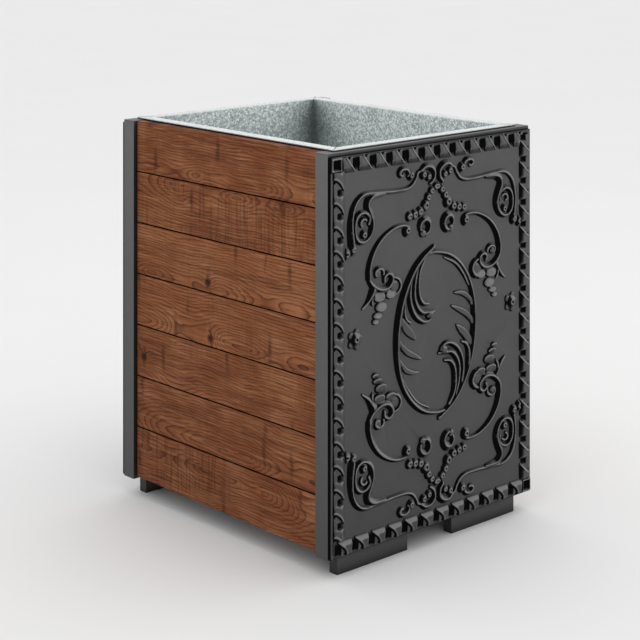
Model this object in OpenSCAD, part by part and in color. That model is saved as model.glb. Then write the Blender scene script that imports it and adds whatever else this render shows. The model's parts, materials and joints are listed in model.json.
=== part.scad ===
// Street planter box: a welded steel frame with boarded sides, two ornamental cast plates
// and a folded galvanised liner that lifts out.
// Z is up. The origin is on the ground, under the middle of the box. The front plate faces -Y.

/* [Frame] */
// Width over the posts
box_w = 598; // [590:1:640]
// Depth over the posts
box_d = 676; // [620:1:760]
// Height of the posts above the feet
post_h = 800; // [796:1:830]
// Side of the square post tube
post_side = 36; // [34:1:40]
// Wall of all the steel tubes
tube_wall = 2.5; // [2:0.5:3]

/* [Feet] */
// Clear height under the frame
foot_h = 40; // [35:1:80]
// Length of each foot block
foot_l = 197.5; // [150:0.5:200]
// Thickness of each foot block
foot_t = 23; // [22:1:24]

/* [Boards] */
// Boards on each side
board_count = 7; // [5:1:8]
// Thickness of the boards
board_t = 18; // [16:1:18]
// Open joint between boards
board_gap = 3.2; // [2:0.2:6]
// Depth of the board face behind the post face
board_recess = 9.5; // [8:0.5:9.5]

/* [Cast plates] */
// Thickness of the plate without its ornament
plate_t = 6.6; // [6:0.2:9]
// Height of the main scrolls above the plate
relief_h = 7; // [4:0.5:8]
// Height of the border leaves above the plate
border_relief = 5; // [3:0.5:7]
// Width of the border band
border_w = 34; // [30:1:38]

/* [Liner] */
// Thickness of the liner sheet
sheet_t = 1.5; // [1:0.25:2]
// Height of the liner rim above the posts
rim_rise = 4.5; // [4:0.5:8]
// Depth of the folded edge of the rim
rim_edge = 3.5; // [3:0.25:3.5]
// Diameter of each drain hole
drain_d = 25; // [15:1:40]

/* [Hidden] */
$fn = 48;

steel_grey = [0.30, 0.30, 0.31];
cast_grey = [0.27, 0.27, 0.28];
wood_brown = [0.44, 0.25, 0.16];
zinc_grey = [0.74, 0.77, 0.76];
bolt_grey = [0.55, 0.56, 0.58];
rubber_black = [0.08, 0.08, 0.08];

// Frame planes
half_w = box_w / 2;
half_d = box_d / 2;
post_base = foot_h;
post_top = foot_h + post_h;

// Posts and their caps
cap_t = 2;
plug_depth = 8;
plug_play = 0.2;
post_x = half_w - post_side / 2;
post_y = half_d - post_side / 2;
bore_side = post_side - 2 * tube_wall;

// Rails: the end rails lie between the posts and carry the plates. The side rails lie along
// the inner sides of the posts and run between the end rails.
rail_t = 20;
rail_h = 30;
side_rail_t = 15;
sill_t = 35;
end_rail_l = box_w - 2 * post_side;
side_rail_x = half_w - post_side - side_rail_t / 2;

// Bearers under the liner
bearer_w = 30;
bearer_h = 20;
bearer_count = 4;
bearer_l = box_w - 2 * post_side;
bearer_pitch = (box_d - 2 * sill_t - bearer_w) / bearer_count;
pad_t = 3;
pad_l = 60;
pad_inset = 90;

// Boards, and the cleats that fill the depth between them and the side rails
board_play = 1;
board_l = box_d - 2 * post_side - 2 * board_play;
board_low = post_base + 5;
board_high = post_top - 1;
board_pitch = (board_high - board_low + board_gap) / board_count;
board_h = board_pitch - board_gap;
board_x = half_w - board_recess - board_t / 2;
cleat_t = post_side - board_recess - board_t;
cleat_w = 30;
cleat_span = board_l - 90;
cleat_x = half_w - board_recess - board_t - cleat_t / 2;
cleat_h = post_h - 6;

// Fasteners
fit_play = 0.05;
screw_r = 2.2;
screw_head_r = 4.5;
screw_head_h = 2.4;
screw_bite = 13;
screw_spread = 20;
plate_bolt_r = 4;
plate_bolt_head_r = 7.5;
plate_bolt_head_h = 5.3;
plate_bolt_bite = 5;
plate_bolt_pitch = 180;
foot_bolt_r = 5;
foot_bolt_head_r = 9.2;
foot_bolt_head_h = 6.4;
foot_bolt_sink = 22;
foot_bolt_spread = 120;
foot_nut_h = 8;

// Feet: two under each end, just inside the posts
foot_x = half_w - post_side - foot_l / 2;
foot_y = half_d - 11 - foot_t / 2;

// Cast plates: the outline covers the posts, and the ornament is laid out from the plate's middle
plate_w = box_w - 3;
plate_h = post_h - 9.2;
plate_mid_z = post_base + 2.2 + plate_h / 2;
plate_margin = 6;
relief_root = 1;
leaf_pitch = 46;

// Liner
rim_gap_x = 28;
rim_gap_y = 12;
rim_w_x = 30;
rim_w_y = 26;
rim_w = box_w - 2 * rim_gap_x;
rim_d = box_d - 2 * rim_gap_y;
rim_top = post_top + rim_rise;
rim_hem = 4;
liner_w = rim_w - 2 * rim_w_x;
liner_d = rim_d - 2 * rim_w_y;
liner_base = post_base + rail_h + bearer_h + pad_t;
drain_spread_x = 320;
drain_spread_y = 2 * bearer_pitch;

// Every separate piece or group of like fasteners

// ---------- shared shapes ----------

// A box whose footprint is centred on X and Y and which stands on z = 0
module block(w, d, h) {
    translate([-w / 2, -d / 2, 0])
        cube([w, d, h]);
}

// A square-cornered tube along Z
module tube_z(w, d, h) {
    difference() {
        block(w, d, h);
        translate([0, 0, -1])
            block(w - 2 * tube_wall, d - 2 * tube_wall, h + 2);
    }
}

// A tube along X, centred, with its underside on z = 0
module tube_x(l, d, h) {
    translate([-l / 2, 0, h / 2])
        rotate([0, 90, 0])
            tube_z(h, d, l);
}

// A headed fastener along +Z with its head below z = 0
module fastener(r, l, head_r, head_h, head_sides) {
    cylinder(r = r, h = l);
    translate([0, 0, -head_h])
        cylinder(r = head_r, h = head_h, $fn = head_sides);
}

// ---------- frame ----------

module post() {
    color(steel_grey)
        translate([0, 0, post_base])
            tube_z(post_side, post_side, post_h - cap_t);
}

module cap() {
    color(steel_grey) {
        translate([0, 0, post_top - cap_t])
            block(post_side, post_side, cap_t);
        translate([0, 0, post_top - cap_t - plug_depth])
            block(bore_side - plug_play, bore_side - plug_play, plug_depth);
    }
}

// A rubber plug in the open foot of each post
module post_plugs() {
    color(rubber_black)
        for (x = [-post_x, post_x], y = [-post_y, post_y])
            translate([x, y, post_base])
                block(bore_side - plug_play, bore_side - plug_play, plug_depth);
}

// Three bolt places along an end rail
module at_plate_bolts() {
    for (x = [-plate_bolt_pitch, 0, plate_bolt_pitch])
        translate([x, 0, rail_h / 2])
            rotate([90, 0, 0])
                children();
}

// The end rail for the front, at its own height; its outer face is at -Y
module end_rail(depth, z) {
    color(steel_grey)
        translate([0, -half_d + depth / 2, z])
            difference() {
                tube_x(end_rail_l, depth, rail_h);
                at_plate_bolts()
                    cylinder(r = plate_bolt_r + fit_play, h = 2 * depth, center = true);
            }
}

module top_end_rail() {
    end_rail(rail_t, post_top - rail_h);
}

module sill_rail() {
    difference() {
        end_rail(sill_t, post_base);
        at_foot_bolts()
            cylinder(r = foot_bolt_r + fit_play, h = foot_h + 2 * tube_wall);
    }
}

// The side rail for the left, which runs between the end rails
module side_rail(end_depth, z) {
    color(steel_grey)
        translate([-side_rail_x, 0, z])
            rotate([0, 0, 90])
                tube_x(box_d - 2 * end_depth, side_rail_t, rail_h);
}

module top_side_rail() {
    side_rail(rail_t, post_top - rail_h);
}

module bottom_side_rail() {
    side_rail(sill_t, post_base);
}

module bearer(i) {
    color(steel_grey)
        translate([0, bearer_pitch * (i - (bearer_count + 1) / 2), post_base + rail_h])
            tube_x(bearer_l, bearer_w, bearer_h);
}

module liner_pads() {
    color(rubber_black)
        for (i = [1:bearer_count], x = [-pad_inset, pad_inset])
            translate([x, bearer_pitch * (i - (bearer_count + 1) / 2), liner_base - pad_t])
                block(pad_l, bearer_w, pad_t);
}

// ---------- boarded sides, drawn for the left ----------

function cleat_y(i) = (i - 2) * cleat_span / 2;
function board_mid(i) = board_high - board_h / 2 - (i - 1) * board_pitch;

// Screw places of one board on all three cleats, along -X from the cleats' inner faces
module at_board_screws(i) {
    for (c = [1:3], s = [-1, 1])
        translate([-cleat_x + cleat_t / 2, cleat_y(c), board_mid(i) + s * screw_spread])
            rotate([0, -90, 0])
                children();
}

module cleat(c) {
    color(steel_grey)
        difference() {
            translate([-cleat_x, cleat_y(c), post_base + (post_h - cleat_h) / 2])
                block(cleat_t, cleat_w, cleat_h);
            for (i = [1:board_count])
                at_board_screws(i)
                    cylinder(r = screw_r + fit_play, h = 3 * cleat_t, center = true);
        }
}

module board(i) {
    color(wood_brown)
        difference() {
            translate([-board_x, 0, board_mid(i) - board_h / 2])
                block(board_t, board_l, board_h);
            at_board_screws(i)
                cylinder(r = screw_r + fit_play, h = cleat_t + screw_bite + fit_play);
        }
}

module board_screws() {
    color(bolt_grey)
        for (i = [1:board_count])
            at_board_screws(i)
                fastener(screw_r, cleat_t + screw_bite, screw_head_r, screw_head_h, 24);
}

// ---------- feet ----------

module at_foot_bolts() {
    for (side = [-1, 1], s = [-0.5, 0.5])
        translate([side * foot_x + s * foot_bolt_spread, -foot_y, 0])
            children();
}

// The side that a foot is drawn on before its end is turned: the back end changes sides
function drawn_side(end, side) = (end == "front") == (side == "left") ? "left" : "right";

// The foot under the front end, on the given side
module foot(side) {
    color(cast_grey)
        difference() {
            translate([side == "left" ? -foot_x : foot_x, -foot_y, 0])
                block(foot_l, foot_t, foot_h);
            at_foot_bolts() {
                cylinder(r = foot_bolt_r + fit_play, h = foot_h);
                cylinder(r = foot_bolt_head_r + 1, h = foot_bolt_sink);
            }
        }
}

module at_both_ends() {
    children();
    rotate([0, 0, 180])
        children();
}

module foot_bolts() {
    color(bolt_grey)
        at_both_ends()
            at_foot_bolts()
                translate([0, 0, foot_bolt_sink])
                    fastener(foot_bolt_r, foot_h - foot_bolt_sink + tube_wall + foot_nut_h,
                        foot_bolt_head_r, foot_bolt_head_h, 6);
}

module foot_nuts() {
    color(bolt_grey)
        at_both_ends()
            at_foot_bolts()
                translate([0, 0, foot_h + tube_wall])
                    difference() {
                        cylinder(r = foot_bolt_head_r, h = foot_nut_h, $fn = 6);
                        cylinder(r = foot_bolt_r + fit_play, h = foot_nut_h);
                    }
}

// ---------- cast plates ----------
// The ornament is drawn flat, with x to the right and y up from the plate's middle.
// The left upper quarter is drawn, and the others mirror it.

// A smooth curve through points p, with n steps to a span
function spline_point(a, b, c, d, t) =
    0.5 * (2 * b + (c - a) * t + (2 * a - 5 * b + 4 * c - d) * t * t
    + (3 * b - a - 3 * c + d) * t * t * t);
function spline(p, n) = [
    for (i = [0:len(p) - 2], k = [0:n - 1])
        spline_point(p[max(i - 1, 0)], p[i], p[i + 1], p[min(i + 2, len(p) - 1)], k / n),
    p[len(p) - 1]
];

// A spiral about c from radius r1 at angle a1 to radius r2 at angle a2
function spiral(c, r1, a1, r2, a2, n) = [
    for (k = [0:n])
        let (t = k / n, r = r1 + (r2 - r1) * t, a = a1 + (a2 - a1) * t)
            c + r * [cos(a), sin(a)]
];

function across(path, i) =
    let (d = path[min(i + 1, len(path) - 1)] - path[max(i - 1, 0)])
        [-d[1], d[0]] / norm(d);
function band_half(i, n, w, tip) = w / 2 * (tip + (1 - tip) * sin(180 * i / n));

// A band along a path, w wide in its middle and tip times as wide at its ends
module band(path, w, tip) {
    n = len(path) - 1;
    left = [for (i = [0:n]) path[i] + across(path, i) * band_half(i, n, w, tip)];
    right = [for (i = [n:-1:0]) path[i] - across(path, i) * band_half(i, n, w, tip)];
    polygon(concat(left, right));
}

// Ornament h high above the plate, rooted a little way into it
module relief(h) {
    translate([0, 0, plate_t - relief_root])
        linear_extrude(h + relief_root)
            children();
}

// The S scroll in the corner: its stem leaves the shell at the top and turns down the side
module corner_scroll() {
    stem = [[-58, 328], [-88, 312], [-150, 310], [-200, 314], [-238, 288], [-244, 246], [-236, 214]];
    relief(relief_h)
        band(spline(stem, 5), 9, 0.5);
    relief(relief_h - 1)
        band(spiral([-206, 250], 28, 80, 9, 380, 18), 8, 0.5);
}

// The C scroll that turns from the garland down to the flower spray
module side_scroll() {
    sweep = [[-72, 230], [-104, 236], [-150, 222], [-190, 186], [-198, 144], [-190, 112]];
    relief(relief_h)
        band(spline(sweep, 5), 10, 0.4);
    translate([-82, 222, 0])
        relief(border_relief)
            circle(r = 5);
}

// The curls of the shell at the top, the bellflowers of the garland and the ring under them
module garland() {
    relief(relief_h - 1)
        band(spiral([-100, 342], 14, 40, 6, 300, 12), 7, 0.5);
    translate([-26, 334, 0])
        relief(border_relief)
            circle(r = 11);
    for (k = [0:4])
        translate([-14 - 14 * k, 306 - 13 * k, 0])
            relief(border_relief)
                circle(r = 8 - k / 2);
    translate([-36, 224, 0])
        relief(relief_h - 1)
            difference() {
                circle(r = 17);
                circle(r = 8);
            }
}

// A spray of petals on the side of the plate
module flower_spray() {
    for (k = [0:3])
        translate([-190, 96, 0])
            rotate(30 - 36 * k)
                relief(border_relief)
                    band([[10, 0], [24, 2], [38, 0]], 11, 0.3);
}

// Half of the middle ornament: a crescent with an inner strand that curls in, and three leaves
module crescent() {
    outer = [[-8, 178], [-70, 148], [-110, 76], [-118, -20], [-94, -102], [-44, -152], [14, -160]];
    relief(relief_h + 1)
        band(spline(outer, 5), 13, 0.3);
    relief(relief_h)
        band(spline([[-44, 142], [-62, 104], [-58, 66], [-34, 44], [-10, 46]], 5), 12, 0.3);
    for (k = [0:2])
        relief(border_relief)
            band([[-100, 24 - 38 * k], [-82, 4 - 38 * k], [-54, -12 - 36 * k]], 11, 0.3);
}

// A boss in a ring of petals
module rosette() {
    petals = 6;
    for (k = [1:petals])
        rotate(k * 360 / petals)
            translate([14, 0, 0])
                relief(border_relief)
                    circle(r = 6);
    relief(relief_h)
        circle(r = 7);
}

// One border leaf, like a breaking wave: it runs to +X, and the plate's edge is at +Y
module leaf() {
    hollow = 24;
    curl = [for (a = [180:15:270]) [leaf_pitch - 14, -2] + hollow * [cos(a), sin(a)]];
    relief(border_relief)
        polygon(concat(
            [[1, -2]], curl,
            [[leaf_pitch - 18, 1 - border_w], [leaf_pitch / 4, 4 - border_w], [1, 2 - border_w]]
        ));
}

// Leaves that run to +X along an edge of length l, at distance out from the middle
module leaf_row(l, out) {
    run = l - 2 * plate_margin - 2 * border_w;
    count = round(run / leaf_pitch);
    for (k = [0:count - 1])
        translate([run * (k / count - 0.5), out - plate_margin, 0])
            leaf();
}

// Leaves run from two opposite corners to the other two
module border() {
    inset = plate_margin + border_w / 2;
    for (s = [0, 180])
        rotate(s) {
            leaf_row(plate_w, plate_h / 2);
            rotate(-90)
                mirror([1, 0, 0])
                    leaf_row(plate_h, plate_w / 2);
            translate([inset - plate_w / 2, plate_h / 2 - inset, 0])
                relief(border_relief)
                    difference() {
                        square(border_w - 8, center = true);
                        square(border_w - 18, center = true);
                    }
        }
}

module cast_plate() {
    color(cast_grey)
        translate([0, -half_d, plate_mid_z])
            rotate([90, 0, 0])
                difference() {
                    union() {
                        block(plate_w, plate_h, plate_t);
                        border();
                        for (mx = [0, 1], my = [0, 1])
                            mirror([mx, 0, 0])
                                mirror([0, my, 0]) {
                                    corner_scroll();
                                    side_scroll();
                                    garland();
                                    flower_spray();
                                }
                        at_both_ends()
                            crescent();
                        for (x = [-227, 227])
                            translate([x, 28, 0])
                                rosette();
                    }
                    at_plate_holes()
                        cylinder(r = plate_bolt_r + fit_play, h = plate_bolt_bite);
                }
}

// The bolt places of one plate, in the plate's own flat layout
module at_plate_holes() {
    for (x = [-plate_bolt_pitch, 0, plate_bolt_pitch],
         z = [post_base + rail_h / 2, post_top - rail_h / 2])
        translate([x, z - plate_mid_z, 0])
            children();
}

module plate_bolt(depth) {
    translate([0, 0, -depth])
        fastener(plate_bolt_r, depth + plate_bolt_bite - fit_play, plate_bolt_head_r,
            plate_bolt_head_h, 6);
}

module plate_bolts() {
    color(bolt_grey)
        for (x = [-plate_bolt_pitch, 0, plate_bolt_pitch]) {
            translate([x, -half_d, post_base + rail_h / 2])
                rotate([90, 0, 0])
                    plate_bolt(sill_t);
            translate([x, -half_d, post_top - rail_h / 2])
                rotate([90, 0, 0])
                    plate_bolt(rail_t);
        }
}

// ---------- liner ----------

// A ring of sheet lying flat: outer size w by d, hole size hw by hd
module flat_ring(w, d, hw, hd, h) {
    difference() {
        block(w, d, h);
        translate([0, 0, -1])
            block(hw, hd, h + 2);
    }
}

module liner() {
    depth = rim_top - liner_base;
    color(zinc_grey)
        difference() {
            union() {
                translate([0, 0, liner_base])
                    block(liner_w + 2 * sheet_t, liner_d + 2 * sheet_t, depth);
                translate([0, 0, rim_top - sheet_t])
                    block(rim_w, rim_d, sheet_t);
                translate([0, 0, rim_top - rim_edge])
                    flat_ring(rim_w, rim_d, rim_w - 2 * rim_hem, rim_d - 2 * rim_hem, rim_edge);
            }
            translate([0, 0, liner_base + sheet_t])
                block(liner_w, liner_d, depth);
            for (x = [-0.5, 0.5], y = [-0.5, 0.5])
                translate([x * drain_spread_x, y * drain_spread_y, liner_base - 1])
                    cylinder(d = drain_d, h = sheet_t + 2);
        }
}

// ---------- assembly ----------
// Parts are drawn for the front or the left, and the others are turned or mirrored from them.

// Turns the front part to the back, or the left part to the right
module turned(name, far) {
    rotate([0, 0, name == far ? 180 : 0])
        children();
}

// Moves a part from the origin to a corner post
module at_post(end, side) {
    translate([side == "left" ? -post_x : post_x, end == "front" ? -post_y : post_y, 0])
        children();
}

for (e = ["front", "back"]) {
    turned(e, "back") cast_plate();
    turned(e, "back") plate_bolts();
    turned(e, "back") top_end_rail();
    turned(e, "back") sill_rail();
    for (s = ["left", "right"]) {
        at_post(e, s) post();
        at_post(e, s) cap();
        turned(e, "back") foot(drawn_side(e, s));
    }
}
for (s = ["left", "right"]) {
    turned(s, "right") top_side_rail();
    turned(s, "right") bottom_side_rail();
    turned(s, "right") board_screws();
    for (i = [1:3])
        turned(s, "right") cleat(i);
    for (i = [1:board_count])
        turned(s, "right") board(i);
}
for (i = [1:bearer_count])
    bearer(i);
foot_bolts();
foot_nuts();
post_plugs();
liner_pads();
liner();
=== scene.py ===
"""Street planter box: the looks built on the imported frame.

Everything is in metres in the frame's axes: Z up, the front cast plate faces -Y, and the boards
face -X and +X. The ornament of the cast plates is laid out in millimetres from the middle of the
plate, with u to the right and v up.
"""

import json
import math

import bmesh
import bpy
import numpy as np
from mathutils import Matrix, Vector


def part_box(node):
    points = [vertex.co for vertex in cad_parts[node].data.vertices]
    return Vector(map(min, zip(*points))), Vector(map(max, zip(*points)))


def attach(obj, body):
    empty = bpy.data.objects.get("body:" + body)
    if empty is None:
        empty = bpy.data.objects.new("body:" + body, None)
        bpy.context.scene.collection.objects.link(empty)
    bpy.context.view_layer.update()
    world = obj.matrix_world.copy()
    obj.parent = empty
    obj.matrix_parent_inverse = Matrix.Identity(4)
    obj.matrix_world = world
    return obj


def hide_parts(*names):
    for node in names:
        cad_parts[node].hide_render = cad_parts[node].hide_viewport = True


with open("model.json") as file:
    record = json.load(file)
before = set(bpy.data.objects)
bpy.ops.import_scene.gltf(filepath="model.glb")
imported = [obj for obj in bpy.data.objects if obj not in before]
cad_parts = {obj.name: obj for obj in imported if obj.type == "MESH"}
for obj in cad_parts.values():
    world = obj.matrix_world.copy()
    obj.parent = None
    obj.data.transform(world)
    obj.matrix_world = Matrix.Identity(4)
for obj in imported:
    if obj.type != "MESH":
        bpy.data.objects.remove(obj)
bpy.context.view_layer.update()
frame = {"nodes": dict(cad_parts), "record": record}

MM = 0.001

# ---------------------------------------------------------------- places read from the frame

PLATE_LOW, PLATE_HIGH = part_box("cast_plate_front")
LINER_LOW, LINER_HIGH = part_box("liner")
POST_LOW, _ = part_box("post_front_left")
_, CAP_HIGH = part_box("cap_front_left")
LOWEST_BOARD_LOW, LOWEST_BOARD_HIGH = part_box("board_left_7")
NEXT_BOARD_LOW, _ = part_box("board_left_6")
BOARD_PITCH = NEXT_BOARD_LOW.z - LOWEST_BOARD_LOW.z
BOARD_GAP = NEXT_BOARD_LOW.z - LOWEST_BOARD_HIGH.z
POST_TOP = CAP_HIGH.z
POST_HEIGHT = POST_TOP - POST_LOW.z

# ---------------------------------------------------------------- relief of the cast plates

PLATE_BASE = 6.6  # thickness of the plate under its ornament
RELIEF_MAX = (PLATE_HIGH.y - PLATE_LOW.y) / MM - PLATE_BASE
HALF_PLATE_W = (PLATE_HIGH.x - PLATE_LOW.x) / MM / 2
HALF_PLATE_H = (PLATE_HIGH.z - PLATE_LOW.z) / MM / 2
GRID_STEP = 1.3
PLATE_KEEP = 0.32  # share of the faces of a plate that decimation keeps
PROUD = 8  # how far most of the ornament stands out of the plate


def spline(points, steps=10):
    """A smooth curve through points (Catmull-Rom), with so many steps from each point to the next."""
    p = np.array(points, float)
    p = np.vstack([2 * p[0] - p[1], p, 2 * p[-1] - p[-2]])
    t = np.linspace(0, 1, steps, endpoint=False)[:, None]
    spans = []
    for a, b, c, d in zip(p, p[1:], p[2:], p[3:]):
        spans.append(0.5 * (2 * b + (c - a) * t + (2 * a - 5 * b + 4 * c - d) * t**2
                            + (3 * b - a - 3 * c + d) * t**3))
    return np.vstack(spans + [p[-2:-1]])


def arc(centre, radius, start, end, steps=24, squash=1.0):
    """An arc or, with two radii, a spiral about a centre; angles are in degrees."""
    turn = np.radians(np.linspace(start, end, steps))
    r = np.linspace(radius[0], radius[1], steps) if isinstance(radius, tuple) else radius
    return np.stack([centre[0] + r * np.cos(turn), centre[1] + squash * r * np.sin(turn)], 1)


def smooth(x):
    """0 below 0, 1 above 1 and an S curve between them."""
    x = np.clip(x, 0, 1)
    return x * x * (3 - 2 * x)


class Relief:
    """A height field in millimetres over a rectangle of the plate."""

    def __init__(self, u, v):
        self.u, self.v = np.meshgrid(u, v)
        self.height = np.zeros(self.u.shape)

    def window(self, low, high):
        """Slices of the grid that cover a box."""
        cols = np.searchsorted(self.u[0], (low[0], high[0]))
        rows = np.searchsorted(self.v[:, 0], (low[1], high[1]))
        return slice(*rows), slice(*cols)

    def raise_to(self, area, height):
        """Lifts an area to a height where it lies lower."""
        self.height[area] = np.maximum(self.height[area], height)

    def rib(self, path, width, height, tip=0.3, lean=0.0, edge=1.0, head=None):
        """A swept rib with a crest along path. It narrows to tip at both ends, or from head to tip.

        lean moves the crest off the middle of the rib, and edge bends its sides: 1 is a plain roof.
        """
        path = np.asarray(path, float)
        reach = width * 0.75  # half the width, with room for lean
        area = self.window(path.min(0) - reach, path.max(0) + reach)
        u, v = self.u[area], self.v[area]
        nearest = np.full(u.shape, np.inf)
        along = np.zeros(u.shape)
        side = np.zeros(u.shape)
        steps = np.hypot(*np.diff(path, axis=0).T)
        lengths = np.concatenate([[0], np.cumsum(steps)]) / steps.sum()
        for i, (a, b) in enumerate(zip(path, path[1:])):
            d = b - a
            t = np.clip(((u - a[0]) * d[0] + (v - a[1]) * d[1]) / (d @ d), 0, 1)
            gap = np.hypot(u - a[0] - t * d[0], v - a[1] - t * d[1])
            closer = gap < nearest
            nearest[closer] = gap[closer]
            along[closer] = (lengths[i] + t * (lengths[i + 1] - lengths[i]))[closer]
            side[closer] = np.sign(d[0] * (v - a[1]) - d[1] * (u - a[0]))[closer]
        if head is None:
            swell = tip + (1 - tip) * np.sin(math.pi * np.clip(along, 0.001, 0.999)) ** 0.7
        else:
            swell = head + (tip - head) * along
        half = width / 2 * swell * (1 + lean * side)
        inside = np.clip(1 - nearest / half, 0, 1)
        self.raise_to(area, height * (0.55 + 0.45 * swell) * inside**edge)

    def dome(self, centre, radius, height, stretch=1.0):
        """A rounded boss, wider than it is tall by stretch."""
        centre = np.array(centre, float)
        reach = radius * max(stretch, 1)
        area = self.window(centre - reach, centre + reach)
        far = np.hypot((self.u[area] - centre[0]) / stretch, self.v[area] - centre[1]) / radius
        self.raise_to(area, height * np.clip(1 - far**2, 0, 1) ** 0.35)

    def petal(self, centre, half_width, half_height, height):
        """A flat oval petal that is tilted to face up: its lower edge stands proud."""
        centre = np.array(centre, float)
        size = np.array([half_width, half_height])
        area = self.window(centre - size, centre + size)
        across = (self.u[area] - centre[0]) / half_width
        above = (self.v[area] - centre[1]) / half_height
        inside = np.clip((1 - np.hypot(across, above)) / 0.18, 0, 1)
        self.raise_to(area, height * (0.6 - 0.4 * above) * inside)

    def dish(self, centre, radius, depth, rim, wall):
        """A boss as high as rim round a hollow whose floor is at depth; wall is its slope's share of
        the radius."""
        centre = np.array(centre, float)
        area = self.window(centre - radius, centre + radius)
        far = np.hypot(self.u[area] - centre[0], self.v[area] - centre[1]) / radius
        slope = rim * np.clip((1 - far) / wall, 0, 1)
        bowl = rim - (rim - depth) * smooth((1 - wall - far) / 0.3)
        self.raise_to(area, np.where(far > 1 - wall, slope, bowl))


def corner_scroll(r):
    """The S scroll of one corner, with the branch that winds into a volute and two balls at its foot.

    Both are swept in two stretches that share a few steps, the thin one and the thick one.
    """
    stem = spline([(46, 343), (55, 339), (61, 328), (72, 316), (92, 310), (130, 310), (170, 313), (204, 313),
                   (224, 304), (237, 286), (242, 260), (241, 238), (238, 216)])
    r.rib(stem[:75], 11, 5.5, tip=0.8)
    r.rib(stem[65:], 23, PROUD, head=0.35, tip=1.0, lean=0.33)
    branch = spline([(150, 309), (180, 308), (195, 300), (198, 288), (191, 272), (185, 256), (186, 240),
                     (195, 226), (210, 219), (225, 223), (233, 236), (234, 254), (229, 269), (217, 277),
                     (203, 275), (194, 266), (195, 253)])
    r.rib(branch[:80], 24, PROUD, tip=0.4)
    r.rib(branch[60:], 14, 7.8, tip=0.6)
    r.rib(arc((211, 255), (11, 5), 150, -60), 9, PROUD, tip=0.6)
    r.dish((209, 233), 11, 3, 7.8, wall=0.7)
    r.dish((257, 201), 13, 5, PROUD, wall=0.7)
    r.dish((239, 207), 13, 6, PROUD, wall=0.7)


def side_scroll(r):
    """The C scroll that runs from its curl near the ring down to the flower spray."""
    sweep = spline([(80, 228), (88, 235), (104, 237), (126, 234), (151, 223), (172, 206), (187, 184),
                    (194, 162), (194, 146)])
    r.rib(sweep[:45], 11, 5.5, tip=0.8)
    r.rib(sweep[25:], 23, PROUD, head=0.4, tip=1.0, lean=-0.15)
    r.dish((87, 225), 14, 4.5, PROUD, wall=0.7)


def shell(r):
    """The curled shell beside the middle of the top edge."""
    r.rib(arc((99, 343), (18, 7), 215, -80, squash=0.65), 14, PROUD, tip=0.6)
    r.rib(arc((101, 343), (9, 3), 150, -140), 8, 7.4, tip=0.6)
    r.dish((76, 337), 12, 5, PROUD, wall=0.7)
    r.rib(spline([(18, 314), (9, 324), (8, 338), (19, 348), (34, 350), (46, 343)]), 18, PROUD, tip=0.6)
    r.dish((39, 334), 11, 4.5, PROUD, wall=0.7)
    r.dish((24, 328), 10, 4.5, PROUD, wall=0.7)


def garland(r):
    """Bellflowers that overlap down from the middle of the top edge, and the horn under them."""
    husks = spline([(2, 306), (15, 298), (25, 286), (33, 270), (49, 259), (65, 255), (80, 253)], 1)
    steps = np.gradient(husks, axis=0)
    for place, ahead, size in zip(husks, steps, (9, 10, 11, 14, 12, 11.5, 11)):
        turn = math.degrees(math.atan2(ahead[1], ahead[0]))
        r.dish(place, size, 5, 7.5, wall=0.65)
        r.rib(arc(place, 0.5 * size, turn - 100, turn + 100), 0.7 * size, PROUD, tip=0.5)
    r.rib(arc((36, 227), (16, 13), 290, -30), 21, PROUD, tip=0.5)
    r.dome((42, 214), 8, 7)


def flower_spray(r):
    """The C scroll ends in a cup that rolls over, with a bud beside it and petals under it."""
    cup = spline([(197, 156), (192, 137), (178, 123), (159, 116), (142, 118), (131, 128), (131, 140),
                  (141, 146), (151, 141), (151, 132)])
    r.rib(cup, 17, PROUD, tip=0.6)
    r.rib(arc((168, 150), (14, 8), 200, -60, squash=0.8), 12, 7.8, tip=0.6)
    r.dome((170, 150), 8, 6)
    r.rib(spline([(130, 138), (114, 131), (107, 118), (116, 104), (134, 99)]), 16, 7.6, tip=0.5)
    r.dome((123, 117), 13, 4.6)
    petals = (
        ((134, 104), 16, 10),
        ((166, 103), 18, 11),
        ((161, 82), 17, 11),
        ((171, 66), 13, 7),
        ((177, 55), 9, 6),
    )
    for centre, half_width, half_height in petals:
        r.petal(centre, half_width, half_height, PROUD)
    r.rib(spline([(182, 118), (193, 102), (203, 92), (213, 85)]), 26, PROUD, tip=0.15, head=1.0)
    r.rib(spline([(186, 112), (187, 98), (184, 88)]), 12, 7, tip=0.3)


def crescent(r):
    """Half of the middle ornament: one long acanthus leaf whose head curls in and whose tail tapers."""
    spine = spline([(-8, 182), (-40, 164), (-65, 142), (-87, 110), (-103, 74), (-113, 28), (-115, -18),
                    (-109, -62), (-94, -99), (-69, -131), (-37, -153), (0, -163), (24, -163)])
    r.rib(spine[:80], 24, PROUD, tip=0.5)
    r.rib(spine[60:], 15, 7.2, tip=0.45)
    r.rib(spline([(-98, -78), (-82, -104), (-57, -131), (-22, -149)]), 9, 6, tip=0.4)
    strands = (
        [(-36, 160), (-51, 136), (-55, 108), (-51, 84), (-40, 70), (-24, 66)],
        [(-56, 144), (-65, 114), (-66, 84), (-56, 62), (-42, 51), (-26, 49), (-6, 48)],
        [(-74, 124), (-79, 94), (-75, 68), (-62, 46), (-43, 33), (-27, 31), (-12, 38)],
        [(-90, 106), (-96, 78), (-95, 56), (-88, 42), (-76, 36)],
    )
    for strand, width in zip(strands, (18, 16, 16, 14)):
        r.rib(spline(strand), width, 7.8, tip=0.4)
    r.dome((-20, 43), 9, 7.6, stretch=1.3)
    leaves = (
        ([(-106, 50), (-95, 33), (-84, 20), (-74, 11), (-61, -1)], 18),
        ([(-112, 8), (-102, -8), (-86, -23), (-66, -34), (-45, -44)], 13),
        ([(-110, -32), (-102, -46), (-90, -59), (-73, -67), (-53, -70)], 11),
    )
    for leaf, width in leaves:
        r.rib(spline(leaf), width, 5, tip=0.2, edge=0.12)


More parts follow.
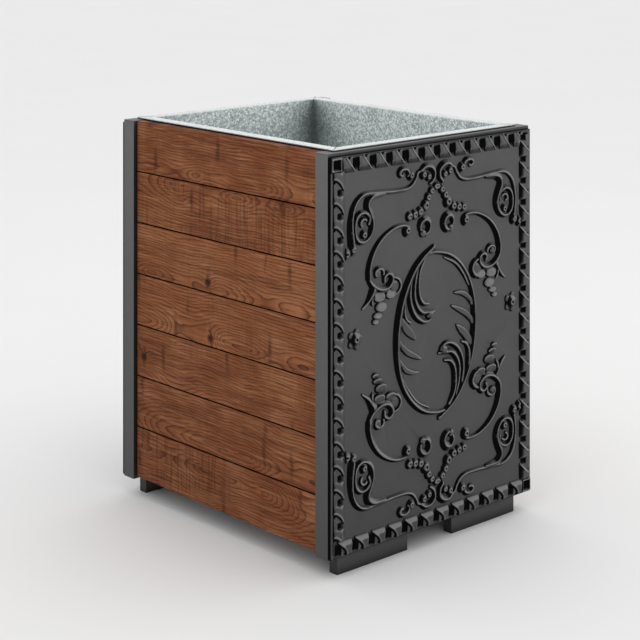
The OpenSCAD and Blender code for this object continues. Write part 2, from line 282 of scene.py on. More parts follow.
def rosette(r, centre):
    """A cup that stands on a ring of small petals."""
    for turn in np.radians(np.arange(0, 360, 72)):
        r.dome(np.array(centre) + 14 * np.array([math.cos(turn), math.sin(turn)]), 8, 3)
    r.dish(centre, 19, 4, PROUD, wall=0.75)


# Border leaves: s runs along the edge, and depth in from it. Each is a wave that curls over a hollow.
BORDER_LIP = 2.4
BORDER_DEPTH = 34.0
CORNER_BLOCK = 30.0
ROW_END_GAP = 10.0
COLUMN_INSET = 4.0
LEAF_PITCH = 46.5
LEAF_REACH = 22.0  # from the lip in to where a leaf's crest is highest

# Heights over the plate
BLOCK_FRAME = 4.2
LEAF_FOOT = 2.5
LEAF_CREST = 6.4
WEB = 2.0
HOLLOW = -1.3


def border_leaf(s, depth, web_end, web_edge):
    """Height of one border leaf at places s and depth.

    Past web_end along the edge and web_edge in from it, the web beside the leaf gives way to a hollow.
    """
    inward = np.clip((depth - BORDER_LIP) / LEAF_REACH, 0, 1.3)
    crest = 13.5 + 14.5 * inward**1.7
    rise = LEAF_FOOT + (LEAF_CREST - LEAF_FOOT) * np.clip(inward, 0, 1) ** 0.8
    leaf = rise * (0.75 + 0.25 * smooth(s / 10)) + 1.5 * np.exp(-((s - crest + 1.5) / 1.8) ** 2)
    from_hole = np.hypot((s - 18) / 4, (depth - 4) / 3.5)
    web = WEB - (WEB - HOLLOW) * smooth((1.2 - from_hole) / 0.4)
    height = leaf + (web - leaf) * smooth((s - crest) / 4.5)
    pocket = smooth((s - np.maximum(web_end, crest + 1)) / 1.5) * smooth((depth - web_edge) / 3)
    height += (HOLLOW - height) * pocket
    end = np.clip((BORDER_DEPTH - depth) / 12, 0, 1) ** 0.7
    start = smooth((depth - BORDER_LIP) / 1.5)
    return height * np.minimum(end, start)


def border_row(along, depth, length, web_end, web_edge):
    """Height over one edge whose leaves start after a corner block."""
    run = length - CORNER_BLOCK - ROW_END_GAP
    count = round(run / LEAF_PITCH)
    pitch = run / count
    place = along - CORNER_BLOCK
    height = border_leaf(np.mod(place, pitch), depth, web_end, web_edge)
    inside = (place > 0) & (place < count * pitch) & (depth < BORDER_DEPTH) & (depth > 0)
    return np.where(inside, height, 0)


def corner_block(along, depth):
    """A square frame round a hollow, where two rows start."""
    middle = CORNER_BLOCK / 2 + 1
    far = np.maximum(abs(along - middle), abs(depth - middle))
    height = BLOCK_FRAME * smooth((14.5 - far) / 2)
    return height + (HOLLOW - height) * smooth((10.5 - far) / 1.5)


def border(r):
    """Leaves run from the upper left and lower right corners to the other two."""
    left, top = r.u + HALF_PLATE_W, HALF_PLATE_H - r.v
    right, bottom = HALF_PLATE_W - r.u, r.v + HALF_PLATE_H
    corners = ((left, top), (right, bottom))
    for beside, over in corners:
        row = border_row(beside, over, 2 * HALF_PLATE_W, web_end=29, web_edge=4)
        r.height = np.where(row != 0, row, r.height)
        column = border_row(over, beside - COLUMN_INSET, 2 * HALF_PLATE_H, web_end=34, web_edge=13)
        r.height = np.where(column != 0, column, r.height)
    for along, depth in corners:
        block = (along < CORNER_BLOCK) & (depth < CORNER_BLOCK)
        r.height = np.where(block, corner_block(along, depth), r.height)


TWIN_RISE = 6.5
ROSETTE_U, ROSETTE_V = 232, 28
ROOM_OVER_RELIEF = 0.1
EDGE_BEVEL = 1.0


def softened(height):
    """The height field with each place blended with its four neighbours, as a casting's edges are."""
    soft = np.pad(height, 1, mode="edge")
    beside = soft[:-2, 1:-1] + soft[2:, 1:-1] + soft[1:-1, :-2] + soft[1:-1, 2:]
    return (2 * height + beside) / 6


def plate_relief():
    """The whole ornament as a height field over one plate.

    One quarter is mirrored both ways. The crescent and its half turn fill the middle, and the rosettes
    and the border come last.
    """
    columns = 2 * round(HALF_PLATE_W / GRID_STEP) + 1
    rows = 2 * round(HALF_PLATE_H / GRID_STEP) + 1
    u = np.linspace(-HALF_PLATE_W, HALF_PLATE_W, columns)
    v = np.linspace(-HALF_PLATE_H, HALF_PLATE_H, rows)
    quarter = Relief(u[columns // 2:], v[rows // 2:])
    for part in (corner_scroll, side_scroll, shell, garland, flower_spray):
        part(quarter)
    whole = Relief(u, v)
    half = np.hstack([quarter.height[:, :0:-1], quarter.height])
    whole.height = np.vstack([half[:0:-1], half])
    turned = Relief(u, v)
    crescent(turned)
    twin = np.roll(turned.height[::-1, ::-1], round(TWIN_RISE / GRID_STEP), axis=0)
    whole.height = np.maximum(whole.height, np.maximum(turned.height, twin))
    for side in (-1, 1):
        rosette(whole, (side * ROSETTE_U, ROSETTE_V))
    border(whole)
    whole.height = np.minimum(softened(whole.height), RELIEF_MAX - ROOM_OVER_RELIEF)
    edge = np.minimum(HALF_PLATE_W - abs(whole.u), HALF_PLATE_H - abs(whole.v))
    whole.height -= EDGE_BEVEL * np.clip(1 - edge / 1.4, 0, 1)
    return whole


def new_object(name, mesh, material, body):
    """An object of the model that rides on a body of the frame."""
    obj = bpy.data.objects.new(name, mesh)
    bpy.context.scene.collection.objects.link(obj)
    mesh.materials.append(material)
    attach(obj, body)
    return obj


def smooth_faces(obj, angle):
    """Smooth shading that keeps the edges sharper than angle degrees."""
    obj.data.shade_smooth()
    obj.data.set_sharp_from_angle(angle=math.radians(angle))


def apply_modifiers(obj):
    """Bakes an object's modifiers into its mesh."""
    shape = obj.evaluated_get(bpy.context.evaluated_depsgraph_get())
    mesh = bpy.data.meshes.new_from_object(shape)
    obj.modifiers.clear()
    old = obj.data
    obj.data = mesh
    bpy.data.meshes.remove(old)


def cast_plate(name, node, relief, facing, material):
    """A casting as one closed mesh: its ornamented face, its edges and its flat back."""
    low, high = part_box(node)
    mid = (low + high) / 2
    rows, columns = relief.height.shape
    back_y = high.y if facing < 0 else low.y
    x = mid.x - facing * relief.u * MM
    z = mid.z + relief.v * MM
    y = back_y + facing * (PLATE_BASE + relief.height) * MM
    face = np.stack([x, y, z], -1).reshape(-1, 3)
    index = np.arange(rows * columns).reshape(rows, columns)
    rim = np.concatenate([index[0, :-1], index[:-1, -1], index[-1, :0:-1], index[:0:-1, 0]])
    back = face[rim].copy()
    back[:, 1] = back_y
    quads = np.stack([index[:-1, :-1], index[:-1, 1:], index[1:, 1:], index[1:, :-1]], -1)
    count = len(rim)
    first = rows * columns
    ring = np.arange(count)
    after = (ring + 1) % count
    sides = np.stack([rim[after], rim[ring], first + ring, first + after], -1)
    mesh = bpy.data.meshes.new(name)
    faces = quads.reshape(-1, 4).tolist() + sides.tolist() + [(first + ring[::-1]).tolist()]
    mesh.from_pydata(np.vstack([face, back]).tolist(), [], faces)
    mesh.validate()
    obj = new_object(name, mesh, material, "frame")
    thin = obj.modifiers.new("thin", "DECIMATE")
    thin.ratio = PLATE_KEEP
    apply_modifiers(obj)
    smooth_faces(obj, 50)
    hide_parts(node)


# ---------------------------------------------------------------- material helpers

class Nodes:
    """Short calls for building a node material."""

    def __init__(self, name):
        self.material = bpy.data.materials.new(name)
        self.material.use_nodes = True
        self.tree = self.material.node_tree
        self.shader = self.tree.nodes["Principled BSDF"]

    def add(self, kind, **values):
        """A node with some of its properties set and some of its inputs set or linked."""
        node = self.tree.nodes.new(kind)
        for key, value in values.items():
            if hasattr(node, key):
                setattr(node, key, value)
            else:
                self.put(node, key, value)
        return node

    def put(self, node, key, value):
        """Sets or links an input, by its name with _ for spaces or by its number as i0, i1 and so on."""
        number = key[0] == "i" and key[1:].isdigit()
        socket = node.inputs[int(key[1:])] if number else node.inputs[key.replace("_", " ")]
        if isinstance(value, bpy.types.NodeSocket):
            self.tree.links.new(value, socket)
        else:
            socket.default_value = value

    def math(self, operation, a, b=0.0, c=0.0):
        """One sum of up to three values; only MULTIPLY_ADD reads the third."""
        node = self.add("ShaderNodeMath", operation=operation, i0=a, i1=b)
        if operation == "MULTIPLY_ADD":
            self.put(node, "i2", c)
        return node.outputs[0]

    def product(self, first, *others):
        """The product of two or more values."""
        for other in others:
            first = self.math("MULTIPLY", first, other)
        return first

    def place(self):
        """The position in the frame, in metres."""
        return self.add("ShaderNodeTexCoord").outputs["Object"]

    def scaled(self, vector, x, y, z):
        """vector with each of its numbers multiplied, which stretches a pattern along the axes."""
        node = self.add("ShaderNodeVectorMath", operation="MULTIPLY", i0=vector, i1=(x, y, z))
        return node.outputs[0]

    def join(self, x, y, z):
        """A vector; each of x, y and z may be a number or a socket."""
        return self.add("ShaderNodeCombineXYZ", X=x, Y=y, Z=z).outputs[0]

    def vector(self, operation, a, b):
        """One sum of two vectors."""
        return self.add("ShaderNodeVectorMath", operation=operation, i0=a, i1=b).outputs[0]

    def noise(self, vector, scale, detail=3.0, roughness=0.5):
        """Cloudy noise from 0 to 1."""
        node = self.add("ShaderNodeTexNoise", Vector=vector, Scale=scale, Detail=detail, Roughness=roughness)
        return node.outputs["Fac"]

    def range(self, value, low, high, to_low=0.0, to_high=1.0):
        """value carried from the range low to high over to to_low to to_high, and held there beyond."""
        node = self.add("ShaderNodeMapRange", i0=value, i1=low, i2=high, i3=to_low, i4=to_high)
        return node.outputs[0]

    def ramp(self, value, *stops):
        """Colours along a value; each stop is (place, (r, g, b))."""
        node = self.add("ShaderNodeValToRGB", i0=value)
        band = node.color_ramp.elements
        while len(band) < len(stops):
            band.new(0.5)
        for element, (place, colour) in zip(band, stops):
            element.position = place
            element.color = (*colour, 1)
        return node.outputs[0]

    def mix(self, factor, a, b):
        """Colour a, or b as factor reaches 1; each may be three numbers or a socket."""
        node = self.add("ShaderNodeMix", data_type="RGBA", i0=factor)
        self.put(node, "i6", a if isinstance(a, bpy.types.NodeSocket) else (*a, 1))
        self.put(node, "i7", b if isinstance(b, bpy.types.NodeSocket) else (*b, 1))
        return node.outputs[2]

    def split(self, vector):
        """The three numbers of a vector or colour."""
        return self.add("ShaderNodeSeparateXYZ", i0=vector).outputs

    def bump(self, height, strength, distance, normal=None):
        """A normal tilted by height, on top of another normal where there is one."""
        node = self.add("ShaderNodeBump", Height=height, Strength=strength, Distance=distance)
        if normal is not None:
            self.put(node, "Normal", normal)
        return node.outputs[0]

    def occlusion(self, distance):
        """How open a place is to the light, from 0 in a deep corner to 1."""
        node = self.add("ShaderNodeAmbientOcclusion", samples=8, Distance=distance)
        return node.outputs["AO"]

    def finish(self, colour, roughness, normal, metallic=0.0, **others):
        """Links the results to the shader and returns the material."""
        self.put(self.shader, "Base_Color", colour)
        self.put(self.shader, "Roughness", roughness)
        self.put(self.shader, "Metallic", metallic)
        self.put(self.shader, "Normal", normal)
        for key, value in others.items():
            self.put(self.shader, key, value)
        return self.material


# ---------------------------------------------------------------- materials

# Near-black colour of painted shade in corners, hollows and shaded flanks
SHADE_BLACK = (0.004, 0.004, 0.004)
DARK_GRAIN = (0.046, 0.012, 0.005)


def shade_by_height(m, place):
    """Painted shade towards the ground: how unshaded a surface is, from 0.35 near the ground to 1 at the
    top.
    """
    return m.range(m.split(place)[2], POST_LOW.z, POST_TOP, 0.35, 1.0)


def steel_paint(name, dark, light):
    """Satin charcoal paint on steel: soft mottling, pale specks, fine orange peel, painted highlights on the
    edges, and painted shade towards the ground and in corners.
    """
    m = Nodes(name)
    place = m.place()
    patches = m.noise(place, 9, 4, 0.6)
    speckle = m.noise(place, 900, 2)
    colour = m.mix(m.range(patches, 0.35, 0.65), dark, light)
    colour = m.mix(m.range(speckle, 0.55, 0.75, 0, 0.25), colour, [c * 1.6 for c in light])
    # Painted highlight: convex edges made lighter
    edges = m.range(m.add("ShaderNodeNewGeometry").outputs["Pointiness"], 0.53, 0.6, 0, 0.5)
    colour = m.mix(edges, colour, [c * 2.0 for c in light])
    # Painted shade towards the ground
    colour = m.mix(shade_by_height(m, place), [c * 0.25 for c in dark], colour)
    # Painted shade: near-black in corners and creases
    colour = m.mix(m.range(m.occlusion(0.04), 0.60, 0.90), SHADE_BLACK, colour)
    rough = m.range(patches, 0.3, 0.7, 0.42, 0.58)
    normal = m.bump(m.noise(place, 420, 3), 0.12, 0.0006)
    return m.finish(colour, rough, normal, Specular_IOR_Level=0.4)


def cast_paint():
    """Painted casting: sandy skin, painted shade on flanks that face left, in hollows and corners and
    towards the ground, painted light on ledges that face up, and painted highlights on the crests.
    """
    m = Nodes("cast_paint")
    place = m.place()
    level = m.math("ABSOLUTE", m.split(place)[1])
    patches = m.noise(place, 7, 5, 0.6)
    grain = m.noise(place, 650, 4, 0.65)
    colour = m.mix(m.range(patches, 0.3, 0.7), (0.052, 0.052, 0.053), (0.074, 0.074, 0.075))
    # Painted shade towards the ground
    colour = m.mix(shade_by_height(m, place), (0.016, 0.016, 0.016), colour)
    geometry = m.add("ShaderNodeNewGeometry").outputs
    across, out, rise = m.split(geometry["Normal"])
    ground = -PLATE_HIGH.y + PLATE_BASE * MM

    # Painted shade: near-black on flanks that face the plate's own left, in corners and in what lies below
    # the ground
    to_left = m.math("MULTIPLY", across, m.math("SIGN", out))
    left_shade = m.range(to_left, -0.12, 0.22, 0.15, 1.0)
    slope = m.range(m.math("ABSOLUTE", out), 0.985, 0.90)
    flat = m.math("SUBTRACT", 1.0, m.math("MULTIPLY", slope, left_shade))
    open_air = m.range(m.occlusion(0.012), 0.45, 0.85)
    shallow = m.range(level, ground - 1.1 * MM, ground - 0.3 * MM)
    unshaded = m.product(flat, open_air, shallow)
    colour = m.mix(unshaded, SHADE_BLACK, colour)

    # Painted light from above on ledges that face up, then painted highlights on the crests and pale grit
    proud = m.range(level, ground + 1.0 * MM, ground + 3.0 * MM)
    ledge = m.product(m.range(rise, 0.10, 0.30), m.range(rise, 0.66, 0.52))
    lit_from_above = m.product(ledge, proud, m.range(left_shade, 0.9, 0.5, 0, 0.8))
    colour = m.mix(lit_from_above, colour, (0.20, 0.20, 0.20))
    # Painted highlight along the crests
    crest = m.math("MULTIPLY", m.range(geometry["Pointiness"], 0.514, 0.565, 0, 0.85), proud)
    colour = m.mix(crest, colour, (0.27, 0.27, 0.27))
    grit = m.math("MULTIPLY", m.range(grain, 0.6, 0.8, 0, 0.2), unshaded)
    colour = m.mix(grit, colour, (0.20, 0.20, 0.20))
    rough = m.range(unshaded, 0, 1, 0.9, m.range(patches, 0.3, 0.7, 0.40, 0.55))
    sand = m.bump(grain, 0.18, 0.0007)
    normal = m.bump(m.noise(place, 60, 4), 0.15, 0.0015, sand)
    sheen = m.range(m.math("MAXIMUM", unshaded, crest), 0, 1, 0.0, 0.45)
    return m.finish(colour, rough, normal, Specular_IOR_Level=sheen)


def stained_wood():
    """Flat-sawn boards in a red-brown stain, each cut from its own place in a log."""
    m = Nodes("stained_wood")
    x, y, z = m.split(m.place())

    # The board that a place is on, and the place within it
    above_lowest = m.math("SUBTRACT", z, LOWEST_BOARD_LOW.z - BOARD_GAP / 2)
    rows = m.math("DIVIDE", above_lowest, BOARD_PITCH)
    row = m.math("FLOOR", rows)
    across = m.math("MULTIPLY", m.math("SUBTRACT", m.math("FRACT", rows), 0.5), BOARD_PITCH)
    board = m.math("MULTIPLY_ADD", m.math("SIGN", x), 3.7, row)
    own = m.add("ShaderNodeTexWhiteNoise", noise_dimensions="1D", W=board).outputs
    tone, pith, seed = m.split(own["Color"])
    along = m.math("MULTIPLY_ADD", seed, 30, y)
    local = m.join(m.math("MULTIPLY", board, 1.7), along, across)

    # Rings: the distance from the pith, which wanders behind the face of the board
    wander = m.noise(m.scaled(local, 1, 3.1, 0.4), 1.0, 1)
    depth = m.math("MULTIPLY", m.math("SUBTRACT", wander, 0.46), 0.22)
    warp = m.math("SUBTRACT", m.noise(m.scaled(local, 1, 7, 22), 1.0, 3, 0.55), 0.5)
    off_pith = m.math("SUBTRACT", across, m.range(pith, 0, 1, -0.11, 0.11))
    height = m.math("MULTIPLY_ADD", warp, 0.026, off_pith)
    square = m.math("ADD", m.math("POWER", height, 2.0), m.math("POWER", depth, 2.0))
    radius = m.math("SQRT", square)

    # Knots: the rings close round the middles of large cells, and the late wood of each ring is dark
    spots = m.scaled(local, 1, 5.2, 6.5)
    cells = m.add("ShaderNodeTexVoronoi", Vector=spots, Scale=1.0)
    knot = cells.outputs["Distance"]
    swirl = m.math("POWER", m.range(knot, 0.28, 0.0), 2.0)
    radius = m.math("MULTIPLY_ADD", swirl, 0.022, radius)
    fibre = m.noise(m.scaled(local, 1, 9, 260), 1.0, 5, 0.65)
    rings = m.math("FRACT", m.math("MULTIPLY_ADD", fibre, 0.3, m.math("DIVIDE", radius, 0.0062)))
    late = m.math("POWER", rings, 3.5)

    # Stain: clouds and streaks, then the rings and the fibre
    streaks = m.noise(m.scaled(local, 1, 2.4, 46), 1.0, 3, 0.6)
    clouds = m.noise(m.scaled(local, 1, 9, 14), 1.0, 3, 0.55)
    early_wood = m.mix(tone, (0.210, 0.068, 0.025), (0.265, 0.093, 0.036))
    colour = m.mix(m.range(clouds, 0.45, 0.68, 0, 0.75), early_wood, (0.34, 0.140, 0.062))
    colour = m.mix(m.range(streaks, 0.46, 0.72, 0, 0.6), colour, (0.110, 0.032, 0.013))
    colour = m.mix(m.math("MULTIPLY", late, 0.95), colour, DARK_GRAIN)
    colour = m.mix(m.range(fibre, 0.44, 0.34, 0, 0.60), colour, DARK_GRAIN)
    colour = m.mix(m.range(fibre, 0.54, 0.66, 0, 0.40), colour, (0.48, 0.24, 0.120))

    # A dark smear that crosses the board at each knot, with ragged sides, and the knot's own eye
    _, beside, above = m.split(m.vector("SUBTRACT", spots, cells.outputs["Position"]))
    torn = m.noise(m.scaled(local, 1, 60, 40), 1.0, 3)
    ragged = m.math("MULTIPLY_ADD", torn, 0.10, m.math("ABSOLUTE", beside))
    reach = m.range(m.math("ABSOLUTE", above), 0.26, 0.05)
    smear = m.math("MULTIPLY", m.range(ragged, 0.095, 0.050), reach)
    colour = m.mix(m.math("MULTIPLY", smear, 0.6), colour, (0.040, 0.010, 0.005))
    colour = m.mix(m.range(knot, 0.075, 0.03, 0, 0.9), colour, (0.022, 0.008, 0.005))

    # Saw marks across some stretches, then painted shade towards the ground and painted shade in the joints
    # and corners
    saw = m.noise(m.scaled(local, 1, 135, 9), 1.0, 3, 0.6)
    rough_sawn = m.range(m.noise(m.scaled(local, 1, 3.5, 9), 1.0, 2), 0.44, 0.60)
    strength = m.math("MULTIPLY", rough_sawn, m.range(pith, 0.35, 0.6, 0.15, 0.60))
    marks = m.math("MULTIPLY", m.range(saw, 0.47, 0.68), strength)
    colour = m.mix(marks, colour, DARK_GRAIN)
    lit = m.range(z, POST_LOW.z, POST_TOP, 0.80, 1.0)
    colour = m.mix(lit, (0.030, 0.008, 0.004), colour)
    colour = m.mix(m.range(m.occlusion(0.010), 0.30, 0.75), (0.006, 0.003, 0.002), colour)

    rough = m.range(late, 0, 1, 0.70, 0.55)
    fine = m.bump(fibre, 0.5, 0.0008)
    sawn_face = m.bump(marks, -0.45, 0.0006, fine)
    normal = m.bump(late, 0.4, 0.0009, sawn_face)
    return m.finish(colour, rough, normal, Specular_IOR_Level=0.08)


def galvanised():
    """Hot-dip zinc: fine crystals of different greys, greener inside, with painted light on the top of the
    rim and painted shade in the corners.
    """
    m = Nodes("galvanised")
    place = m.place()
    jitter = m.noise(place, 90, 2)
    shift = m.join(m.math("MULTIPLY", jitter, 0.003), m.math("MULTIPLY", jitter, 0.002), 0.0)
    warped = m.vector("ADD", place, shift)
    big = m.add("ShaderNodeTexVoronoi", Vector=warped, Scale=230.0).outputs["Color"]
    small = m.add("ShaderNodeTexVoronoi", Vector=warped, Scale=420.0).outputs["Color"]
    grey = m.split(m.mix(0.45, big, small))[0]
    clouds = m.noise(place, 7, 4, 0.6)
    grey = m.math("MULTIPLY_ADD", m.math("SUBTRACT", clouds, 0.5), 0.5, grey)
    crystals = (
        (0.20, (0.32, 0.37, 0.36)),
        (0.50, (0.55, 0.61, 0.60)),
        (0.80, (0.86, 0.92, 0.91)),
    )
    inside = m.ramp(grey, *crystals)
    # Painted light: the top of the rim paler and plainer
    lit_rim_tone = m.ramp(grey, (0.15, (0.54, 0.57, 0.57)), (0.85, (0.76, 0.79, 0.79)))
    rim = m.range(m.split(place)[2], LINER_HIGH.z - 6 * MM, LINER_HIGH.z - 2 * MM)
    colour = m.mix(rim, inside, lit_rim_tone)
    # Painted shade in the corners
    colour = m.mix(m.range(m.occlusion(0.12), 0.42, 1.0), (0.04, 0.05, 0.05), colour)
    rough = m.range(grey, 0, 1, 0.60, 0.42)
    flakes = m.bump(grey, 0.08, 0.0004)
    normal = m.bump(m.noise(place, 12, 2), 0.2, 0.003, flakes)
    metallic = m.range(rim, 0, 1, 0.45, 0.25)
    return m.finish(colour, rough, normal, metallic, Specular_IOR_Level=0.5)


def seam_zinc():
    """Zinc that has dulled over a weld."""
    m = Nodes("seam_zinc")
    place = m.place()
    patches = m.noise(place, 160, 3, 0.6)
    colour = m.mix(m.range(patches, 0.35, 0.65), (0.055, 0.063, 0.062), (0.12, 0.13, 0.13))
    return m.finish(colour, m.range(patches, 0.3, 0.7, 0.55, 0.75), m.bump(patches, 0.3, 0.0005), 0.3)


def zinc_bolt():
    """Bright zinc plating with a faint yellow cast and handling marks."""
    m = Nodes("zinc_bolt")
    place = m.place()
    marks = m.noise(place, 300, 4, 0.6)
    colour = m.mix(m.range(marks, 0.35, 0.65), (0.42, 0.42, 0.40), (0.62, 0.62, 0.60))
    return m.finish(colour, m.range(marks, 0.3, 0.7, 0.25, 0.45), m.bump(marks, 0.1, 0.0003), 1.0)


def black_rubber():
    """Matte moulded rubber with a dusty bloom."""
    m = Nodes("black_rubber")
    place = m.place()
    bloom = m.noise(place, 45, 4, 0.6)
    colour = m.mix(m.range(bloom, 0.4, 0.7), (0.012, 0.012, 0.012), (0.035, 0.035, 0.034))
    return m.finish(colour, m.range(bloom, 0.3, 0.7, 0.75, 0.9), m.bump(m.noise(place, 500), 0.2, 0.0004))


# ---------------------------------------------------------------- carried-over CAD nodes

def dress(node, material, bevel):
    """Gives a CAD node its material and, by modifiers, softly rounded edges."""
    obj = frame["nodes"][node]
    obj.data.materials.clear()
    obj.data.materials.append(material)
    weld = obj.modifiers.new("weld", "WELD")
    weld.merge_threshold = 0.01 * MM
    edge = obj.modifiers.new("edge", "BEVEL")
    edge.width = bevel
    edge.segments = 3
    edge.limit_method = "ANGLE"
    edge.angle_limit = math.radians(40)
    edge.harden_normals = True


# ---------------------------------------------------------------- liner

SHEET = 1.5 * MM
RIM_EDGE = 3.5 * MM
RIM_ROUND = 1.2 * MM
RIM_CHAMFER = 0.8 * MM
HEM = 4 * MM
BEND = 3 * MM
SEAM_PROUD = 0.5 * MM
RIM_TOP = LINER_HIGH.z - SEAM_PROUD


def rectangle_loop(bm, half_x, half_y, z):
    """Four new corners of a level rectangle about the Z axis."""
    signs = ((-1, -1), (1, -1), (1, 1), (-1, 1))
    return [bm.verts.new((sx * half_x, sy * half_y, z)) for sx, sy in signs]


def bridge(bm, a, b):
    """Faces between two loops of as many corners."""
    for i in range(len(a)):
        j = (i + 1) % len(a)
        bm.faces.new((a[i], a[j], b[j], b[i]))


def liner_profile(wall_x, wall_y):
    """Half sizes and heights of the loops from the inside floor, over the rim, to the underside."""
    rim_x, rim_y = LINER_HIGH.x, LINER_HIGH.y
    loops = [(wall_x, wall_y, LINER_LOW.z + SHEET)]
    for turn in (0, 30, 60, 90):
        a = math.radians(turn)
        out, down = BEND * (1 - math.cos(a)), BEND * (1 - math.sin(a))
        loops.append((wall_x + out, wall_y + out, RIM_TOP - down))
    for turn in (90, 60, 30, 0):
        a = math.radians(turn)
        back, down = RIM_ROUND * (1 - math.cos(a)), RIM_ROUND * (1 - math.sin(a))
        loops.append((rim_x - back, rim_y - back, RIM_TOP - down))
    edge = LINER_HIGH.z - RIM_EDGE
    under = LINER_HIGH.z - SHEET
    loops.append((rim_x, rim_y, edge + RIM_CHAMFER))
    loops.append((rim_x - RIM_CHAMFER, rim_y - RIM_CHAMFER, edge))
    loops.append((rim_x - HEM, rim_y - HEM, edge))
    loops.append((rim_x - HEM, rim_y - HEM, under))
    loops.append((wall_x + SHEET + BEND, wall_y + SHEET + BEND, under))
    loops.append((wall_x + SHEET, wall_y + SHEET, under - BEND))
    loops.append((wall_x + SHEET, wall_y + SHEET, LINER_LOW.z))
    return loops


def cut_drains(obj):
    """Cuts the drain holes through the floor where the record has its bores."""
    bm = bmesh.new()
    for bore in frame["record"]["mounts"]:
        if bore["kind"] == "bore":
            radius = bore["dims"]["r_mm"] * MM
            bmesh.ops.create_cone(bm, cap_ends=True, segments=48, radius1=radius, radius2=radius,
                                  depth=20 * MM, matrix=Matrix.Translation(bore["pos_m"]))
    mesh = bpy.data.meshes.new("drain_cutter")
    bm.to_mesh(mesh)
    bm.free()
    cutter = bpy.data.objects.new("drain_cutter", mesh)
    bpy.context.scene.collection.objects.link(cutter)
    cut = obj.modifiers.new("drains", "BOOLEAN")
    cut.operation = "DIFFERENCE"
    cut.object = cutter
    apply_modifiers(obj)
    bpy.data.objects.remove(cutter)


def liner_walls():
    """Half width and depth of the liner's cavity, from the CAD solid's walls under its rim."""
    low = LINER_LOW.z + 100 * MM
    points = [v.co for v in frame["nodes"]["liner"].data.vertices if v.co.z < low]
    return max(p.x for p in points) - SHEET, max(p.y for p in points) - SHEET


def liner(wall_x, wall_y, material):
    """The liner as one sheet with a bent rim, a hem under it and drain holes."""
    bm = bmesh.new()
    loops = [rectangle_loop(bm, *loop) for loop in liner_profile(wall_x, wall_y)]
    for a, b in zip(loops, loops[1:]):
        bridge(bm, a, b)
    bm.faces.new(loops[0])
    bm.faces.new(loops[-1][::-1])
    bmesh.ops.recalc_face_normals(bm, faces=bm.faces)
    mesh = bpy.data.meshes.new("liner_shell")
    bm.to_mesh(mesh)
    bm.free()
    obj = new_object("liner_shell", mesh, material, "liner")
    cut_drains(obj)
    smooth_faces(obj, 35)
    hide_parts("liner")


def bead(bm, start, end, side, up, width, height):
    """A low rounded weld bead from start to end; side and up are unit vectors across it."""
    steps = 5
    rings = []
    for point in (start, end):
        ring = []
        for k in range(steps + 1):
            a = math.pi * k / steps
            over = side * (width / 2 * math.cos(a)) + up * (height * math.sin(a))
            ring.append(bm.verts.new(point + over))
        rings.append(ring)
    first, last = rings
    bridge(bm, first, last)
    bm.faces.new(first[::-1])
    bm.faces.new(last)


def liner_seams(wall_x, wall_y, material):
    """Weld beads: down the four inside corners and across the mitres of the rim."""
    bm = bmesh.new()
    up = Vector((0, 0, 1))
    for sx in (-1, 1):
        for sy in (-1, 1):
            out = Vector((sx, sy, 0)).normalized()
            across = Vector((-sy, sx, 0)).normalized()
            corner = Vector((sx * wall_x, sy * wall_y, LINER_LOW.z + SHEET))
            high = Vector((sx * wall_x, sy * wall_y, RIM_TOP - BEND))
            bead(bm, corner, high, across, -out, width=4 * MM, height=1.2 * MM)
            inner = Vector((sx * (wall_x + BEND), sy * (wall_y + BEND), RIM_TOP))
            outer = Vector((sx * (LINER_HIGH.x - SHEET), sy * (LINER_HIGH.y - SHEET), RIM_TOP))
            bead(bm, inner, outer, across, up, width=1.6 * MM, height=0.45 * MM)
    bmesh.ops.recalc_face_normals(bm, faces=bm.faces)
    mesh = bpy.data.meshes.new("liner_seams")
    bm.to_mesh(mesh)
    bm.free()
    obj = new_object("liner_seams", mesh, material, "liner")
    obj.data.shade_smooth()


# ---------------------------------------------------------------- stage, light and camera

FLOOR_HALF = 60.0
BACKDROP = 0.83


def floor():
    """A pale studio floor that reaches beyond the camera's view."""
    m = Nodes("studio_floor")
    tone = m.mix(m.range(m.noise(m.place(), 1.5, 2), 0.3, 0.7), (0.81, 0.81, 0.81), (0.82, 0.82, 0.82))
    material = m.finish(tone, 0.9, m.bump(m.noise(m.place(), 40), 0.02, 0.001))
    mesh = bpy.data.meshes.new("studio_floor")
    corners = [(sx * FLOOR_HALF, sy * FLOOR_HALF, 0) for sx, sy in ((-1, -1), (1, -1), (1, 1), (-1, 1))]
    mesh.from_pydata(corners, [], [(0, 1, 2, 3)])
    mesh.materials.append(material)
    obj = bpy.data.objects.new("studio_floor", mesh)
    bpy.context.scene.collection.objects.link(obj)


def area_light(name, place, target, size, power):
    """A square lamp at a place, turned to its target."""
    data = bpy.data.lights.new(name, "AREA")
    data.size = size
    data.energy = power
    obj = bpy.data.objects.new(name, data)
    obj.location = place
    obj.rotation_euler = (Vector(target) - Vector(place)).to_track_quat("-Z", "Y").to_euler()
    bpy.context.scene.collection.objects.link(obj)


def lights():
    """A large lamp overhead and an even white surround, which the camera sees in the floor's far tone."""
    area_light("overhead", (0.6, -0.8, 4.0), (0, 0, 0.45), size=3.5, power=25)
    world = bpy.data.worlds.new("studio")
    world.use_nodes = True
    tree = world.node_tree
    surround = tree.nodes["Background"]
    surround.inputs["Color"].default_value = (1, 1, 1, 1)
    seen = tree.nodes.new("ShaderNodeMapRange")
    seen.inputs["To Min"].default_value = 1.0
    seen.inputs["To Max"].default_value = BACKDROP
    tree.links.new(tree.nodes.new("ShaderNodeLightPath").outputs["Is Camera Ray"], seen.inputs["Value"])
    tree.links.new(seen.outputs["Result"], surround.inputs["Strength"])
    bpy.context.scene.world = world
    bpy.context.scene.view_settings.view_transform = "Standard"


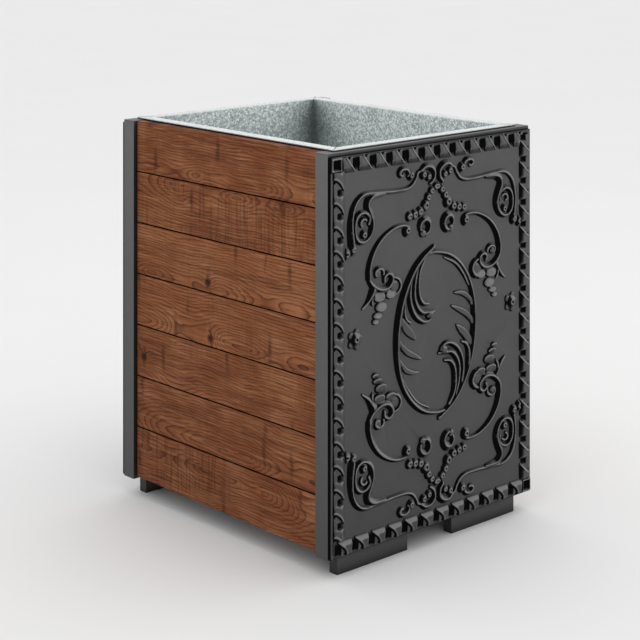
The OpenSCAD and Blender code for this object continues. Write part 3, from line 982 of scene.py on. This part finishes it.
# The viewpoint, in heights of the posts from the foot of the front left corner post
VIEW_FROM = Vector((-2.9243, -3.1833, 1.6822))
VIEW_AZIMUTH = math.radians(42.328)
FOCAL_MM = 99.06
SENSOR_MM = 36.0
LENS_SHIFT = -0.6932  # of the sensor's width


def camera():
    """A level camera whose lens is shifted down, so that upright edges stay upright.

    The shift is driven: it holds at this viewpoint only, and from anywhere else the camera is a plain one.
    """
    data = bpy.data.cameras.new("camera")
    data.lens = FOCAL_MM
    data.sensor_width = SENSOR_MM
    data.clip_end = FLOOR_HALF
    obj = bpy.data.objects.new("camera", data)
    obj.location = POST_LOW + VIEW_FROM * POST_HEIGHT
    obj.rotation_euler = (math.radians(90), 0, -VIEW_AZIMUTH)
    bpy.context.scene.collection.objects.link(obj)
    shift = data.driver_add("shift_y").driver
    place = shift.variables.new()
    place.name = "x"
    place.type = "TRANSFORMS"
    place.targets[0].id = obj
    place.targets[0].transform_type = "LOC_X"
    shift.expression = f"{LENS_SHIFT} if abs(x - ({obj.location.x:.5f})) < 0.001 else 0"
    bpy.context.scene.camera = obj


# ---------------------------------------------------------------- build

paint = steel_paint("frame_paint", (0.070, 0.070, 0.072), (0.096, 0.096, 0.098))
foot_paint = steel_paint("foot_paint", (0.130, 0.130, 0.131), (0.165, 0.165, 0.167))
iron = cast_paint()
wood = stained_wood()
zinc = galvanised()
bolts = zinc_bolt()
rubber = black_rubber()

# How each CAD node is dressed, by the first of these beginnings that its name has
DRESS = (
    (("post_plugs", "liner_pads"), rubber, 0.5 * MM),
    (("post_", "cap_", "rail_", "bearer_", "cleat_"), paint, 0.8 * MM),
    (("foot_front", "foot_back"), foot_paint, 1.2 * MM),
    (("board_screws", "plate_bolts", "foot_bolts", "foot_nuts"), bolts, 0.3 * MM),
    (("board_",), wood, 2.0 * MM),
)
for node in frame["nodes"]:
    for beginnings, material, bevel in DRESS:
        if node.startswith(beginnings):
            dress(node, material, bevel)
            break

relief = plate_relief()
cast_plate("plate_front", "cast_plate_front", relief, -1, iron)
cast_plate("plate_back", "cast_plate_back", relief, 1, iron)
walls = liner_walls()
liner(*walls, zinc)
liner_seams(*walls, seam_zinc())

floor()
lights()
camera()
